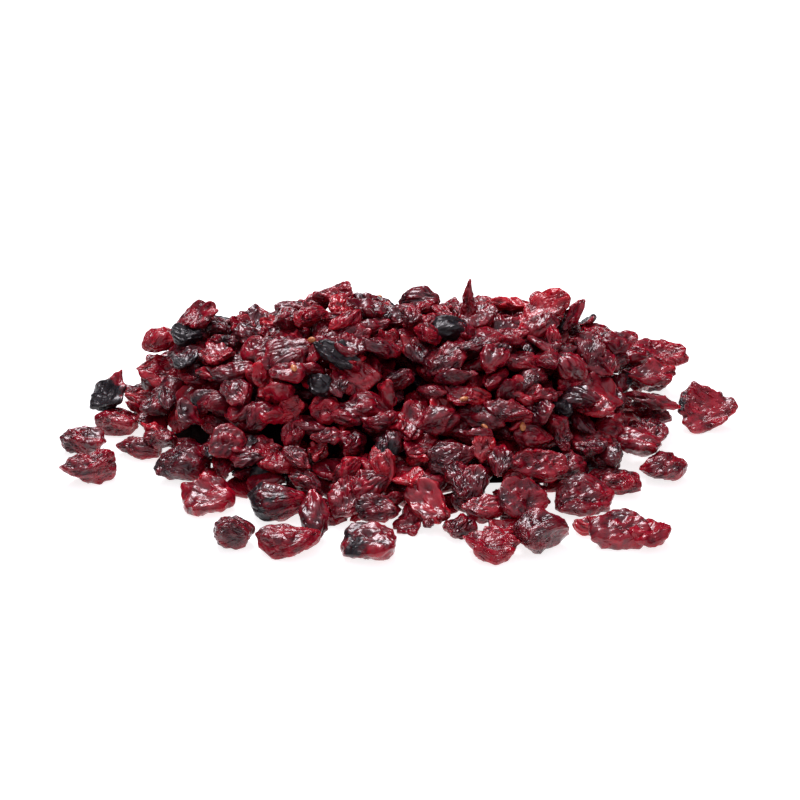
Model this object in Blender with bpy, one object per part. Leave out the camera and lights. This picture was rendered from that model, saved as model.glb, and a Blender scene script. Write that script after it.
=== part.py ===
"""A poured heap of dried cranberries on a flat surface, with a few berries that rolled clear of it.

The heap grows as a real one does. Its rim berries are laid on the surface first. Then berry after berry drops
on the pile and stays in the lowest place that it finds, until the pile has its form, and a last few are laid
on top. What shows is fused to a solid core. Lengths are in millimetres and angles in degrees until the meshes
are made. The tables count from the heap's middle, and the meshes from the middle of all that lies on the
surface, with +Z up and the front at -Y.
"""

import math
import random

import bmesh
import bpy
import numpy as np
from mathutils import Matrix

MM = 0.001

# The pile's form: its reach from the middle, every 30 degrees counter-clockwise from +X, and how it rises
PILE_MIDDLE = (0.0, 14.0)
PILE_REACH = (72.0, 81.0, 59.0, 51.0, 54.0, 80.0, 76.0, 68.0, 62.0, 60.5, 61.0, 67.0)
PILE_TOP = 32.8
TOP_FALL = 0.2  # how much the top falls towards the back, behind the pile's middle
PILE_SLOPES = {"front": 30.0, "sides": 52.0, "back": 42.0}
TOP_ROUNDING = 2.5
TOP_WAVE = (1.0, 0.021, 0.05)  # height, and turns per mm along X and Y
# Along X, how much higher than that the top is
TOP_LINE = (
    (-58.0, -4.5), (-46.0, -7.5), (-38.0, -6.5), (-30.0, -2.0), (-16.0, 2.2),
    (2.0, 2.2), (12.0, -1.5), (24.0, -1.4), (34.0, -2.4), (43.0, -2.0), (47.5, -9.0),
)

# How berries fall and lie
SEED = 7
COVER = 17.0  # depth of loose berries over the bed that they fall on
BITE = 1.4  # how far a soft berry presses into the berries that it lies on
FLAT_SPOT = 0.6  # how far it presses flat on the surface
TRIES = 30  # places that a falling berry may roll to
MOST_MISSES = 40
# Each pouring: size of its berries, spread of their tilt, how far under the form a place still takes one,
# and how far it may stand above the form
POURINGS = ((0.8, 15.0, 1.8, 3.8), (1.0, 20.0, 1.5, 2.4), (0.85, 40.0, 3.5, 3.0), (0.7, 60.0, 4.5, 3.4))
CELL = 1.0  # grid of the height field
FIELD_HALF = (105.0, 85.0)

# Berry kinds: share of the pile, width and thickness over length, and length over a whole berry's
KINDS = {
    "whole": (50, 0.70, 0.50, 1.00),
    "disc": (20, 0.86, 0.38, 1.00),
    "half": (18, 0.74, 0.38, 1.00),
    "strip": (12, 0.48, 0.36, 1.12),
}
BERRY_LENGTH = (11.5, 15.5)
WIDTH_SPREAD = (0.88, 1.14)
THICKNESS_SPREAD = (0.85, 1.2)

# Berries laid on the surface by hand: x, y, length, width, thickness, yaw, pitch, roll, kind
STRAYS = {
    "stray_left_back": (-86.6, 1.0, 12.6, 10.0, 7.8, 4, 0, 6, "whole"),
    "stray_left_front": (-82.0, -15.4, 16.4, 11.4, 9.4, 30, 0, -8, "whole"),
    "stray_front": (-42.3, -52.4, 11.2, 10.8, 9.4, -30, 0, 5, "whole"),
    "stray_right": (85.0, 18.1, 16.0, 14.6, 8.4, -20, 6, 35, "half"),
}
RIM = (
    (-78.0, 12.4, 12.4, 10.8, 7.8, -20, 0, 5, "whole"),
    (-70.5, -1.0, 14.0, 8.6, 6.0, -14, 3, 0, "whole"),
    (-67.5, 12.0, 11.5, 8.4, 5.4, 12, 0, 8, "whole"),
    (-58.5, -14.5, 15.4, 12.4, 9.8, 20, 0, 10, "whole"),
    (-50.6, -31.8, 14.6, 13.6, 7.6, -35, 6, 16, "half"),
    (-27.8, -55.8, 16.0, 11.6, 7.8, 8, 0, 4, "whole"),
    (-31.6, -37.4, 15.2, 13.0, 9.4, -10, 0, 8, "whole"),
    (-8.1, -58.0, 15.4, 13.0, 8.4, -26, 0, 6, "disc"),
    (15.3, -48.0, 9.6, 8.2, 6.8, 60, 0, 0, "whole"),
    (22.9, -58.0, 14.0, 12.4, 7.6, -6, 0, 6, "half"),
    (35.4, -54.6, 13.8, 13.4, 11.4, 60, 0, 8, "whole"),
    (47.8, -34.0, 16.2, 14.2, 8.0, 15, 0, 14, "disc"),
    (47.6, -45.5, 8.2, 6.6, 5.2, -20, 0, 0, "whole"),
    (55.6, -51.6, 15.0, 13.4, 8.8, 4, 0, 8, "disc"),
    (56.8, -22.4, 16.6, 10.0, 7.0, -24, 0, 6, "whole"),
    (70.3, -15.7, 12.6, 11.8, 8.6, 10, 0, 4, "whole"),
    (64.0, -7.5, 14.0, 10.0, 6.4, -35, 0, 8, "whole"),
    (54.0, -12.0, 11.0, 8.0, 6.0, 20, 0, 0, "whole"),
    (64.6, 8.0, 13.0, 8.8, 6.0, 40, 0, 0, "whole"),
    (66.5, 22.0, 13.0, 9.4, 6.2, -10, 0, 6, "disc"),
    (31.0, -40.5, 12.0, 9.0, 6.0, 10, 0, 0, "whole"),
)
# Berries that end up on top: x, y, height of the middle, length, width, thickness, yaw, pitch, roll, kind
CREST = (
    (-80.8, 19.8, 9.3, 13.0, 12.6, 5.6, 30, -42, 10, "half"),
    (-69.8, 22.0, 6.5, 14.0, 6.6, 4.4, 0, 4, 0, "strip"),
    (-66.8, 1.5, 6.6, 10.5, 4.8, 4.2, -25, 8, 0, "strip"),
    (-65.0, 25.5, 13.0, 17.2, 13.6, 4.8, 6, 12, 30, "disc"),
    (-66.2, 31.5, 19.4, 12.2, 9.4, 7.0, 16, 0, 0, "whole"),
    (-58.0, 20.0, 20.6, 13.4, 9.4, 7.6, -8, 0, 20, "whole"),
    (-58.6, 21.5, 26.0, 10.0, 8.0, 6.0, -12, 10, 0, "whole"),
    (-56.0, 26.0, 29.6, 12.5, 10.0, 6.2, 20, -20, 20, "half"),
    (-45.9, -20.0, 13.0, 11.0, 10.4, 5.4, 10, 0, 36, "disc"),
    (12.5, 9.0, 33.0, 12.5, 9.6, 6.4, 30, 0, 10, "whole"),
    (18.8, 18.5, 35.0, 15.6, 4.4, 4.0, 84, -66, 0, "strip"),
    (38.5, 20.0, 33.8, 16.0, 11.4, 5.0, 20, -26, 14, "half"),
    (46.6, 17.5, 32.6, 12.0, 6.0, 5.0, 30, -50, 0, "strip"),
    (52.0, 12.5, 26.0, 12.0, 9.0, 6.0, 70, -20, 10, "whole"),
    (60.0, 22.0, 24.0, 11.0, 9.4, 6.6, 0, 0, 10, "whole"),
    (63.2, -52.6, 3.8, 12.4, 10.0, 6.4, 30, 0, 0, "half"),
    (66.0, 30.0, 15.5, 10.5, 8.0, 6.0, 20, 0, 0, "whole"),
    (68.0, 38.5, 7.5, 12.0, 9.0, 6.5, 30, -10, 0, "whole"),
    (57.5, 21.0, 18.0, 13.0, 10.0, 8.0, 10, 0, 0, "whole"),
    (73.6, 42.5, 11.6, 17.4, 12.0, 6.4, -12, 10, 14, "half"),
    (69.3, 20.5, 14.4, 15.0, 9.0, 5.4, 8, 0, 16, "half"),
    (70.0, 12.0, 10.2, 16.0, 7.0, 5.0, -8, 8, 0, "strip"),
    (-22.0, -47.6, 5.4, 16.0, 6.8, 6.6, 96, -32, 0, "whole"),
    (-13.7, -38.6, 6.6, 14.4, 9.8, 5.4, 82, -32, 4, "disc"),
    (-5.9, -43.3, 5.6, 12.2, 8.8, 6.4, -12, 5, 20, "whole"),
    (26.5, -49.6, 3.0, 11.0, 8.0, 5.4, 20, 0, 0, "half"),
    (7.0, -41.0, 6.0, 15.0, 10.0, 6.0, -50, 20, 20, "half"),
    (21.3, -43.8, 5.8, 10.6, 7.8, 6.0, 10, 5, 35, "whole"),
    (-4.7, -29.9, 11.0, 15.5, 7.6, 5.6, 100, -38, -6, "strip"),
    (12.8, -27.8, 12.0, 14.3, 9.8, 7.0, 12, -6, 28, "whole"),
    (18.1, -35.9, 8.5, 11.3, 8.3, 6.6, 64, -27, 18, "whole"),
    (31.1, -42.1, 7.6, 13.8, 11.8, 5.8, 18, 6, 34, "disc"),
    (35.9, -30.2, 12.0, 17.0, 9.0, 5.6, 10, 5, 38, "half"),
    (21.5, -24.2, 14.0, 10.5, 6.6, 5.6, 96, -36, 0, "strip"),
    (-29.0, 33.0, 29.0, 12.0, 6.0, 5.5, 5, 0, 10, "whole"),
    (-15.5, 34.0, 30.5, 8.5, 7.0, 4.5, 10, -10, 24, "half"),
    (5.5, 34.0, 31.0, 11.5, 7.5, 6.5, -8, 0, 20, "whole"),
    (28.0, 33.0, 30.0, 9.5, 4.5, 4.0, -10, 0, 10, "strip"),
    (-43.5, 27.0, 26.5, 8.0, 7.5, 5.0, 30, 0, 24, "half"),
    (-35.0, 27.0, 27.5, 7.5, 5.5, 4.5, 20, 0, 10, "half"),
    (-13.5, 4.5, 33.0, 12.5, 8.5, 5.5, 8, -8, 22, "disc"),
    (-3.0, 5.0, 31.0, 9.0, 7.0, 5.0, -15, 28, 30, "half"),
    (-30.5, 0.0, 30.0, 17.0, 14.0, 9.0, 10, -12, 6, "whole"),
    (-16.5, -4.0, 31.0, 13.5, 7.5, 5.0, -15, 18, 22, "half"),
    (-45.0, 0.5, 24.0, 11.5, 8.0, 6.5, -5, -10, 16, "whole"),
    (-12.0, -6.0, 26.0, 15.0, 10.5, 5.0, -24, 26, 34, "half"),
    (-34.5, -9.0, 23.5, 8.5, 6.5, 5.0, 30, -26, 12, "half"),
    (-21.0, -10.0, 25.0, 8.5, 7.5, 6.0, -30, 26, 30, "whole"),
    (-29.5, -14.0, 20.5, 8.0, 7.0, 5.0, 15, -14, 42, "half"),
    (-20.0, -14.0, 20.0, 9.0, 7.5, 6.0, -20, 16, 30, "whole"),
    (-8.5, -12.5, 19.5, 12.0, 8.5, 6.0, 8, 4, 26, "whole"),
    (-52.5, -3.0, 17.0, 10.0, 6.5, 5.5, -4, -26, 30, "whole"),
    (-37.0, -14.5, 18.0, 9.0, 7.5, 6.0, 35, -28, 18, "whole"),
    (-28.0, -18.0, 16.0, 10.5, 6.5, 5.5, 80, -32, 4, "disc"),
    (3.5, 15.0, 32.0, 8.0, 6.0, 4.5, 60, 4, 16, "strip"),
    (3.5, 4.5, 30.0, 8.5, 6.0, 5.0, 12, -22, 30, "half"),
    (12.5, -2.5, 29.0, 14.5, 10.0, 7.5, 18, -18, 18, "whole"),
    (27.0, 10.0, 30.0, 17.5, 9.0, 5.0, 8, -2, 16, "half"),
    (32.0, -0.5, 28.0, 12.0, 9.0, 5.5, 0, 6, 2, "disc"),
    (45.0, 3.0, 25.0, 11.5, 10.0, 6.5, -20, 30, 6, "whole"),
    (41.5, 8.5, 30.0, 9.5, 5.0, 4.5, 96, -32, 18, "strip"),
    (33.5, -9.5, 23.5, 9.0, 8.5, 5.0, 40, -10, 30, "half"),
    (53.5, 2.0, 17.0, 13.0, 12.0, 6.0, -10, 32, 24, "half"),
    (11.5, -13.0, 19.5, 12.0, 6.5, 5.0, 96, -24, -8, "half"),
    (20.0, -11.0, 22.0, 9.0, 5.0, 5.0, -6, -2, 34, "strip"),
    (21.5, -15.0, 18.0, 12.5, 7.5, 6.5, -14, 6, 30, "whole"),
    (2.5, -15.5, 16.5, 14.0, 9.0, 6.0, 84, -20, 0, "half"),
    (43.5, -8.5, 18.0, 6.5, 6.0, 5.5, 50, -2, 34, "whole"),
    (43.5, -15.0, 13.0, 11.0, 5.5, 5.0, 94, -28, 20, "strip"),
    (35.0, -18.5, 13.5, 10.0, 8.0, 6.5, 12, 2, 32, "whole"),
    (57.5, -4.0, 8.5, 11.0, 8.0, 6.5, -12, 34, 16, "whole"),
    (-36.0, -20.5, 12.0, 10.0, 9.0, 5.5, -30, 8, 30, "half"),
    (-35.5, -22.0, 6.5, 11.0, 6.5, 6.5, 6, 0, 0, "whole"),
    (-21.5, -23.0, 12.0, 6.5, 6.0, 5.0, 30, -16, 20, "half"),
    (26.5, -30.0, 12.5, 12.0, 7.0, 5.5, 82, -14, 0, "strip"),
    (53.0, -11.0, 8.0, 10.0, 9.0, 6.0, 30, 14, 32, "whole"),
    (64.5, -6.0, 6.0, 9.5, 8.5, 5.5, -30, 0, 0, "half"),
)

# Each kind's own form: hollow of its upper face, and how far its ends draw to a point, both from and to
KIND_FORMS = {
    "whole": ((0.0, 0.3), (0.05, 0.3)),
    "disc": ((0.25, 0.6), (0.0, 0.12)),
    "half": ((0.7, 1.15), (0.0, 0.3)),
    "strip": ((0.1, 0.6), (0.45, 0.7)),
}
TAPER = 0.25  # how much one end may be wider than the other
BEND = 0.3  # how far the ends may rise or sweep sideways, over half the thickness or width
BEND_CENTRE = 0.4  # share that keeps a bent berry's middle where it was
TWIST = 20.0
LOBES = ((2, 0.08), (3, 0.07))  # swellings round the length, and how high they may be
LOBE_SPREAD = (0.3, 1.0)

# The fused solid
CORE_DEPTH = 2.3  # how far the core's own top lies under the berries' tops
CORE_SMOOTHING = 9  # rounds of averaging over neighbouring cells
CORE_REACH_IN = 3.5  # how far the core's foot stays inside the outermost berries
CORE_FOOT = 1.4  # least height of the core, where it reaches out between the outermost berries
CORE_SIDES = 40
CORE_RINGS = 14
SUNK = 3.0  # how far the core starts below the surface, which then cuts all flat
SURFACE_SIZE = (400.0, 400.0, 20.0)
HEAP_BERRIES = 330  # the outermost berries, which show
# Sides and rings of a faceted berry, and how much wider and thicker it is made to keep the round one's bulk
HEAP_BERRY = (6, 3, 1.14)
STRAY_BERRY = (14, 8, 1.02)
MOST_FACES = 11200
SPREAD_MIDDLE = (0.11, 1.74)  # middle of all that lies on the surface, which is the origin

BERRY_COLOUR = (0.16, 0.012, 0.022, 1.0)
BERRY_ROUGHNESS = 0.35


def pile_reach(angle):
    """How far the pile reaches from its middle, towards an angle in radians."""
    step = 2 * math.pi / len(PILE_REACH)
    place = np.mod(angle, 2 * math.pi) / step
    low = np.floor(place).astype(int)
    share = (1 - np.cos(math.pi * (place - low))) / 2
    reach = np.array(PILE_REACH)
    return reach[low % len(reach)] * (1 - share) + reach[(low + 1) % len(reach)] * share


def pile_height(x, y):
    """The pile's form: its sides rise at their own slopes to a rounded, slightly waved top."""
    across, back = x - PILE_MIDDLE[0], y - PILE_MIDDLE[1]
    angle = np.arctan2(back, across)
    end = np.where(back > 0, PILE_SLOPES["back"], PILE_SLOPES["front"])
    slope = np.radians(PILE_SLOPES["sides"] + (end - PILE_SLOPES["sides"]) * np.sin(angle) ** 2)
    side = np.tan(slope) * (pile_reach(angle) - np.hypot(across, back))
    high, kx, ky = TOP_WAVE
    wave = high * np.sin(2 * math.pi * (kx * x + ky * y))
    top = PILE_TOP + wave + np.interp(x, *zip(*TOP_LINE)) - TOP_FALL * np.maximum(back, 0)
    low = np.minimum(side, top)
    return low - TOP_ROUNDING * np.log1p(np.exp(-np.abs(side - top) / TOP_ROUNDING))


def steepness(x, y):
    """How much longer the form's surface is than the floor under it, at (x, y)."""
    rise_x = (pile_height(x + CELL, y) - pile_height(x - CELL, y)) / (2 * CELL)
    rise_y = (pile_height(x, y + CELL) - pile_height(x, y - CELL)) / (2 * CELL)
    return np.sqrt(1 + rise_x ** 2 + rise_y ** 2)


def turned(yaw, pitch, roll):
    """A berry's rotation, from angles in degrees: roll about its length, then pitch, then yaw."""
    turns = (Matrix.Rotation(math.radians(a), 3, axis) for a, axis in ((yaw, "Z"), (pitch, "Y"), (roll, "X")))
    z_turn, y_turn, x_turn = turns
    return np.array(z_turn @ y_turn @ x_turn)


class Pile:
    """The height of all that has fallen so far, on a grid, and the berries themselves."""

    def __init__(self):
        self.xs = np.arange(-FIELD_HALF[0], FIELD_HALF[0] + CELL / 2, CELL)
        self.ys = np.arange(-FIELD_HALF[1], FIELD_HALF[1] + CELL / 2, CELL)
        self.form = np.round(pile_height(self.xs[:, None], self.ys[None, :]), 3)
        self.height = np.maximum(0.0, self.form - COVER)
        self.berries = []

    def footprint(self, x, y, half, rotation):
        """The cells under an ellipsoid of these half sizes over (x, y), and its lower and upper face there."""
        shape = rotation @ np.diag(np.square(half)) @ rotation.T
        reach_x, reach_y = math.sqrt(shape[0, 0]), math.sqrt(shape[1, 1])
        i0, i1 = np.searchsorted(self.xs, (x - reach_x, x + reach_x))
        j0, j1 = np.searchsorted(self.ys, (y - reach_y, y + reach_y))
        dx, dy = self.xs[i0:i1, None] - x, self.ys[None, j0:j1] - y
        flat = np.linalg.inv(shape[:2, :2])
        spent = flat[0, 0] * dx * dx + 2 * flat[0, 1] * dx * dy + flat[1, 1] * dy * dy
        lean = shape[2, :2] @ flat
        middle = lean[0] * dx + lean[1] * dy
        rise = math.sqrt(shape[2, 2] - lean @ shape[:2, 2]) * np.sqrt(np.clip(1 - spent, 0, None))
        return (slice(i0, i1), slice(j0, j1)), spent < 1, middle - rise, middle + rise

    def resting_height(self, x, y, half, rotation):
        """How high a berry's middle is when it comes to rest over (x, y)."""
        window, inside, lower, _ = self.footprint(x, y, half, rotation)
        on_berries = float((self.height[window] - lower)[inside].max()) - BITE
        on_surface = float(-lower[inside].min()) - FLAT_SPOT
        return round(max(on_berries, on_surface), 5)

    def lay(self, x, y, z, half, rotation, kind):
        """Adds a berry to the pile."""
        window, inside, _, upper = self.footprint(x, y, half, rotation)
        raised = inside & (z + upper > self.height[window])
        self.height[window][raised] = np.round(z + upper, 4)[raised]
        self.berries.append((x, y, z, rotation, half, kind))

    def leave_room(self, x, y, z, half, rotation):
        """Lowers the form where a berry is to be laid on top in the end."""
        window, inside, lower, _ = self.footprint(x, y, half, rotation)
        self.form[window][inside] = np.minimum(self.form[window], np.round(z + lower, 3))[inside]

    def drop(self, rng, open_cells, size, tilt, most_proud):
        """A berry falls and takes the lowest of the places that it may roll to. False if it finds none."""
        kind = rng.choices(tuple(KINDS), [share for share, *_ in KINDS.values()])[0]
        _, wide, thick, long = KINDS[kind]
        length = rng.uniform(*BERRY_LENGTH) * long * size
        width = length * wide * rng.uniform(*WIDTH_SPREAD)
        thickness = length * thick * rng.uniform(*THICKNESS_SPREAD)
        half = np.array((length, width, thickness)) / 2
        best = None
        for _ in range(TRIES):
            i, j = open_cells[rng.randrange(len(open_cells))]
            x, y = self.xs[i] + rng.uniform(-CELL, CELL), self.ys[j] + rng.uniform(-CELL, CELL)
            rotation = turned(rng.uniform(0, 360), rng.gauss(0, tilt), rng.gauss(0, tilt))
            z = self.resting_height(x, y, half, rotation)
            tall = math.sqrt(np.square(rotation[2] * half).sum())
            proud = round(z + tall / 2 - self.form[i, j], 5)
            if best is None or proud < best[0]:
                best = (proud, x, y, z, rotation)
        if best[0] > most_proud:
            return False
        self.lay(*best[1:4], half, best[4], kind)
        return True


def hand_laid(row):
    """One row of a table above: its place, half sizes, rotation and kind."""
    *place, length, width, thickness, yaw, pitch, roll, kind = row
    return place, np.array((length, width, thickness)) / 2, turned(yaw, pitch, roll), kind


def lay_on_surface(pile, row):
    (x, y), half, rotation, kind = hand_laid(row)
    pile.lay(x, y, pile.resting_height(x, y, half, rotation), half, rotation, kind)


def poured_pile():
    """The whole pile: rim, then falling berries until they no longer fit, then the crest."""
    pile = Pile()
    for row in RIM:
        lay_on_surface(pile, row)
    for row in CREST:
        place, half, rotation, _ = hand_laid(row)
        pile.leave_room(*place, half, rotation)
    rng = random.Random(SEED)
    for size, tilt, least_lack, most_proud in POURINGS:
        misses = 0
        while misses < MOST_MISSES:
            open_cells = np.argwhere(pile.form - pile.height > least_lack)
            if not len(open_cells):
                break
            misses += not pile.drop(rng, open_cells, size, tilt, most_proud)
    pile.fallen = pile.height.copy()
    for row in CREST:
        place, half, rotation, kind = hand_laid(row)
        pile.lay(*place, half, rotation, kind)
    return pile


def berry_points(sphere, half, kind, number):
    """Turns a unit sphere's points into a shrivelled berry, long along X, by its kind and number."""
    own = random.Random(1000 * SEED + number)
    hollow, point = (own.uniform(*span) for span in KIND_FORMS[kind])
    taper = own.uniform(-TAPER, TAPER)
    rise, sweep = (own.uniform(-BEND, BEND) for _ in range(2))
    twist = math.radians(own.uniform(-TWIST, TWIST))
    x, y, z = sphere.T
    around = np.arctan2(z, y)
    girth = (1 + taper * x) * (1 - point * x * x)
    for count, high in LOBES:
        girth += own.uniform(*LOBE_SPREAD) * high * np.cos(count * around + own.uniform(0, 2 * math.pi))
    y, z = y * girth, z * girth
    open_top = np.clip(1 - x * x - y * y, 0, 1)
    z = np.where(z > 0, z * (1 - hollow * open_top), z)
    bend = x * x - BEND_CENTRE
    length, width, thickness = half[0] * x, half[1] * (y + sweep * bend), half[2] * (z + rise * bend)
    turn = twist * x
    across = width * np.cos(turn) - thickness * np.sin(turn)
    up = thickness * np.cos(turn) + width * np.sin(turn)
    return np.stack((length, across, up), axis=1)


def berry_mesh(name, berry, number, sides, rings, fill):
    """One closed berry in its place, in metres."""
    *place, rotation, half, kind = berry
    shape = bmesh.new()
    bmesh.ops.create_uvsphere(shape, u_segments=sides, v_segments=rings, radius=1)
    bmesh.ops.rotate(shape, verts=shape.verts, matrix=Matrix.Rotation(math.radians(90), 3, "Y"))
    sphere = np.array([vertex.co[:] for vertex in shape.verts])
    own = berry_points(sphere, half * (1, fill, fill), kind, number)
    points = own @ rotation.T + place - np.array((*SPREAD_MIDDLE, 0))
    for vertex, point in zip(shape.verts, points):
        vertex.co = point * MM
    mesh = bpy.data.meshes.new(name)
    shape.to_mesh(mesh)
    shape.free()
    return mesh


def depth(berry):
    """How far a berry's middle lies inside the pile's form."""
    x, y, z = berry[:3]
    return round(float((pile_height(x, y) - z) / steepness(x, y)), 4)


def core_top(pile):
    """The height of the core on the pile's grid: an even mound that lies inside the berries that show."""
    even = pile.fallen
    for _ in range(CORE_SMOOTHING):
        edge = np.pad(even, 1, mode="edge")
        even = (edge[1:-1, 1:-1] + edge[:-2, 1:-1] + edge[2:, 1:-1] + edge[1:-1, :-2] + edge[1:-1, 2:]) / 5
    return even - CORE_DEPTH * steepness(pile.xs[:, None], pile.ys[None, :])


def value_at(field, x, y):
    """The field's value in the cell at (x, y), where both may be arrays."""
    i = np.rint((np.asarray(x) + FIELD_HALF[0]) / CELL).astype(int)
    j = np.rint((np.asarray(y) + FIELD_HALF[1]) / CELL).astype(int)
    return field[np.clip(i, 0, field.shape[0] - 1), np.clip(j, 0, field.shape[1] - 1)]


def core_reach(pile, angles):
    """How far the core reaches from the pile's middle towards each angle, evened out from side to side."""
    steps = np.arange(0.0, FIELD_HALF[0], CELL / 2)
    reach = []
    for angle in angles:
        x, y = PILE_MIDDLE[0] + steps * math.cos(angle), PILE_MIDDLE[1] + steps * math.sin(angle)
        reach.append(steps[np.flatnonzero(value_at(pile.fallen, x, y) > 0)[-1]] - CORE_REACH_IN)
    return (np.roll(reach, 1) + 4 * np.array(reach) + np.roll(reach, -1)) / 6


def core_mesh(name, pile):
    """A closed mound under the berries: a sphere whose upper half takes the fallen pile's form."""
    top = core_top(pile)
    angles = np.linspace(0, 2 * math.pi, CORE_SIDES, endpoint=False)
    reach = core_reach(pile, angles)
    shape = bmesh.new()
    bmesh.ops.create_uvsphere(shape, u_segments=CORE_SIDES, v_segments=CORE_RINGS, radius=1)
    for vertex in shape.verts:
        angle = math.atan2(vertex.co.y, vertex.co.x)
        out = math.hypot(vertex.co.x, vertex.co.y) * np.interp(angle, angles, reach, period=2 * math.pi)
        x, y = PILE_MIDDLE[0] + out * math.cos(angle), PILE_MIDDLE[1] + out * math.sin(angle)
        z = max(float(value_at(top, x, y)), CORE_FOOT) if vertex.co.z > -1e-6 else -SUNK
        vertex.co = (MM * (x - SPREAD_MIDDLE[0]), MM * (y - SPREAD_MIDDLE[1]), MM * z)
    mesh = bpy.data.meshes.new(name)
    shape.to_mesh(mesh)
    shape.free()
    return mesh


def new_object(name, mesh, collection):
    thing = bpy.data.objects.new(name, mesh)
    collection.objects.link(thing)
    return thing


def boolean(thing, operation, **operand):
    cut = thing.modifiers.new(operation.title(), "BOOLEAN")
    cut.operation = operation
    cut.solver = "MANIFOLD"
    for key, value in operand.items():
        setattr(cut, key, value)


def applied(thing):
    """Makes the object's modifiers part of its mesh."""
    seen = thing.evaluated_get(bpy.context.evaluated_depsgraph_get())
    mesh = bpy.data.meshes.new_from_object(seen)
    thing.modifiers.clear()
    thing.data = mesh


def one_body(thing):
    """Splits the faces into triangles, drops loose scraps and fills the sealed hollows that fusing leaves."""
    shape = bmesh.new()
    shape.from_mesh(thing.data)
    bmesh.ops.triangulate(shape, faces=shape.faces)
    unseen = set(shape.faces)
    largest = set()
    while unseen:
        body, front = set(), {unseen.pop()}
        while front:
            body |= front
            edges = {edge for face in front for edge in face.edges if len(edge.link_faces) == 2}
            front = {near for edge in edges for near in edge.link_faces} - body
        unseen -= body
        largest = max(largest, body, key=len)
    bmesh.ops.delete(shape, geom=[face for face in shape.faces if face not in largest], context="FACES")
    shape.to_mesh(thing.data)
    shape.free()


def berry_material(name):
    skin = bpy.data.materials.new(name)
    skin.use_nodes = True
    shader = skin.node_tree.nodes["Principled BSDF"]
    shader.inputs["Base Color"].default_value = BERRY_COLOUR
    shader.inputs["Roughness"].default_value = BERRY_ROUGHNESS
    shader.inputs["Metallic"].default_value = 0.0
    return skin


for thing in list(bpy.data.objects):
    bpy.data.objects.remove(thing)
parts = bpy.data.collections.new("dried_cranberries")
cutters = bpy.data.collections.new("cutters")
loose = bpy.data.collections.new("loose_berries")
for collection in (parts, cutters, loose):
    bpy.context.scene.collection.children.link(collection)

# The surface that they lie on: everything below it is cut away, which leaves small flats to rest on
surface_mesh = bpy.data.meshes.new("surface")
slab = bmesh.new()
bmesh.ops.create_cube(slab, size=1)
bmesh.ops.scale(slab, vec=[MM * side for side in SURFACE_SIZE], verts=slab.verts)
bmesh.ops.translate(slab, vec=(0, 0, -MM * SURFACE_SIZE[2] / 2), verts=slab.verts)
slab.to_mesh(surface_mesh)
slab.free()
surface = new_object("surface", surface_mesh, cutters)
surface.hide_render = True
surface.display_type = "WIRE"

# The heap: its core and every berry that shows, fused
pile = poured_pile()
outer = sorted(range(len(pile.berries)), key=lambda number: depth(pile.berries[number]))
for number in outer[:HEAP_BERRIES]:
    name = f"berry_{number}"
    new_object(name, berry_mesh(name, pile.berries[number], number, *HEAP_BERRY), loose)
heap = new_object("cranberry_heap", core_mesh("cranberry_heap", pile), parts)
boolean(heap, "UNION", operand_type="COLLECTION", collection=loose)
applied(heap)
for thing in list(loose.objects):
    bpy.data.objects.remove(thing)
bpy.data.collections.remove(loose)
one_body(heap)
fine = heap.modifiers.new("Fewer faces", "DECIMATE")
fine.ratio = min(1.0, MOST_FACES / len(heap.data.polygons))
boolean(heap, "DIFFERENCE", object=surface)
applied(heap)
one_body(heap)
heap.data.materials.clear()
heap.data.materials.append(berry_material("heap_skin"))

# The strays, each a berry of its own
flat = Pile()
flat.height[:] = 0.0
for name, row in STRAYS.items():
    lay_on_surface(flat, row)
    number = -len(flat.berries)
    stray = new_object(name, berry_mesh(name, flat.berries[-1], number, *STRAY_BERRY), parts)
    boolean(stray, "DIFFERENCE", object=surface)
    applied(stray)
    one_body(stray)
    stray.data.materials.clear()
    stray.data.materials.append(berry_material(name + "_skin"))
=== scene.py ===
"""A poured heap of dried cranberries on a white table, with four berries that rolled clear of it.

The heap is made the way it came about: the rim berries lie on the table, more fall on them until the pile has
its form, and a last few lie on top. Places are in millimetres and degrees, with the heap's middle as origin,
until a mesh gets its place in metres.
"""

import math
import random

import bmesh
import bpy
import numpy as np
from mathutils import Matrix, Vector
from mathutils.bvhtree import BVHTree


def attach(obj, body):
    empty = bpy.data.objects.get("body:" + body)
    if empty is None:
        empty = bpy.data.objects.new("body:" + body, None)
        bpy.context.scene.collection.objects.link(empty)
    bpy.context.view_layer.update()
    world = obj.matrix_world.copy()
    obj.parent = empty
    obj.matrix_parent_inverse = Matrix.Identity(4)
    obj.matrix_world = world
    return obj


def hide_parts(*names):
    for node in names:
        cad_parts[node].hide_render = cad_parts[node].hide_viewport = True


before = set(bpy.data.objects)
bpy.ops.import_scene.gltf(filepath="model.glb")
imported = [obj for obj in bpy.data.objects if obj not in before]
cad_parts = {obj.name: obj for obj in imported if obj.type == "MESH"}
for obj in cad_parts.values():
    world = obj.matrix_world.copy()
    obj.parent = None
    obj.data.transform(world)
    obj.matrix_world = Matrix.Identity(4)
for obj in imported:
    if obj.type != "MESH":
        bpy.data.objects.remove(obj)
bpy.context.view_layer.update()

# The pour
# Dried cranberries are poured loose from a bag. They slide down the pile's sides and come to rest where they
# find room, and being soft they press a little into each other and flat on the table.
MM = 0.001
SPREAD_MIDDLE = (0.11, 1.74)  # middle of all that lies on the table, and the meshes' origin
PILE_MIDDLE = (0.0, 14.0)
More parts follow.
